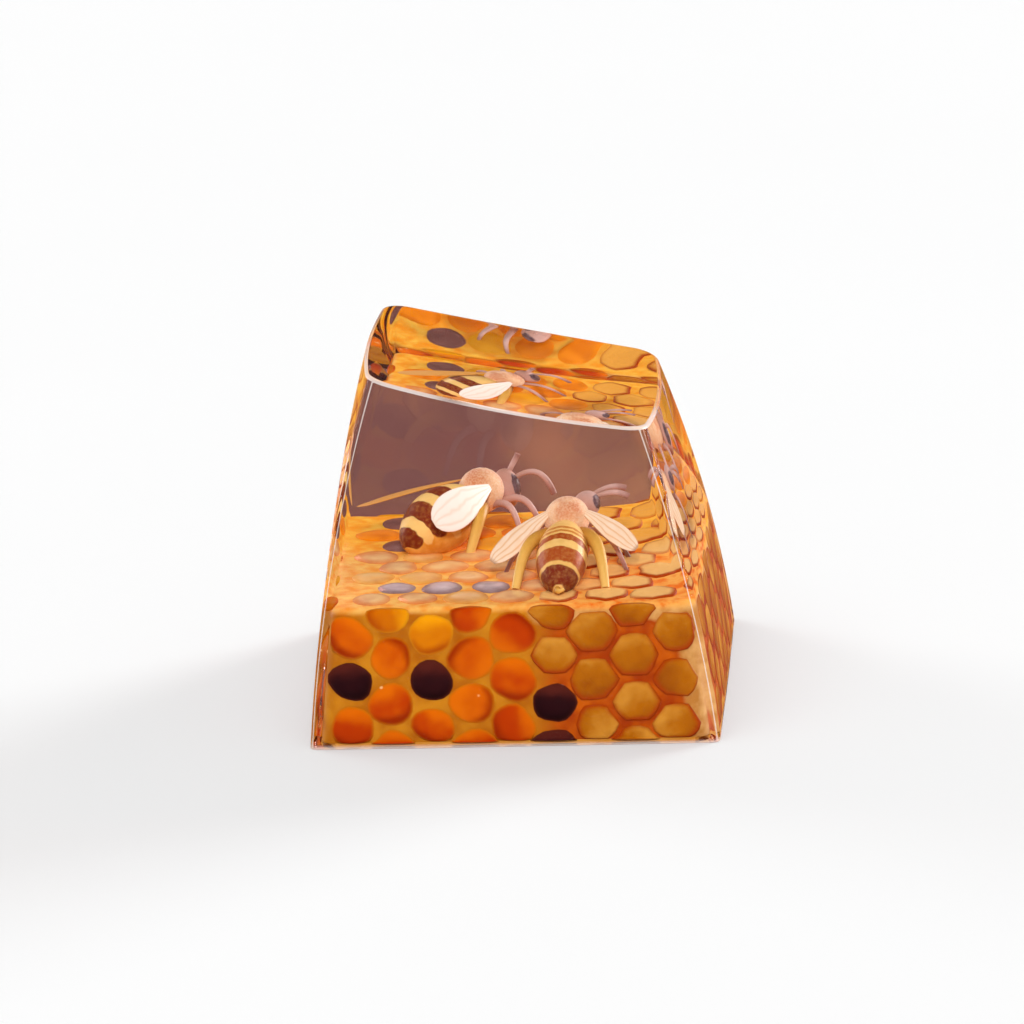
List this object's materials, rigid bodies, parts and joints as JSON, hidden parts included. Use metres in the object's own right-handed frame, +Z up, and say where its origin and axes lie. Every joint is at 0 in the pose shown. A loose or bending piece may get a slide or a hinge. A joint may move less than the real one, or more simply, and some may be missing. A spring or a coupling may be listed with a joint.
{
  "type": "artisan keycap",
  "caption": "Tall sculpted keycap of clear resin, cast around a honeycomb block with bees, with a cross-socket post below for a key switch.",
  "frame": {"origin": "centre of the square foot, on the plane of the bottom rim", "axes": "+X to the typist's right, +Y to the back of the keyboard, +Z up out of the key's top"},
  "size_m": [0.0184, 0.0184, 0.0163],
  "materials": {
    "clear_cap": "clear polished resin",
    "comb": "wax-coloured resin",
    "honey_cells": "translucent orange resin",
    "pollen_cells": "golden yellow resin",
    "dark_cells": "dark brown resin",
    "capped_cells": "pale peach resin",
    "stem_base": "wax-coloured resin, as cast",
    "resting_bee": "painted resin",
    "resting_bee_wings": "pearly film",
    "standing_bee": "painted resin",
    "standing_bee_wings": "pearly film"
  },
  "bodies": {
    "root": {"clear_cap": "clear_cap", "comb": "comb", "honey_cells": "honey_cells", "pollen_cells": "pollen_cells", "dark_cells": "dark_cells", "capped_cells": "capped_cells", "stem_base": "stem_base", "resting_bee": "resting_bee", "resting_bee_wings": "resting_bee_wings", "standing_bee": "standing_bee", "standing_bee_wings": "standing_bee_wings"}
  },
  "joints": []
}
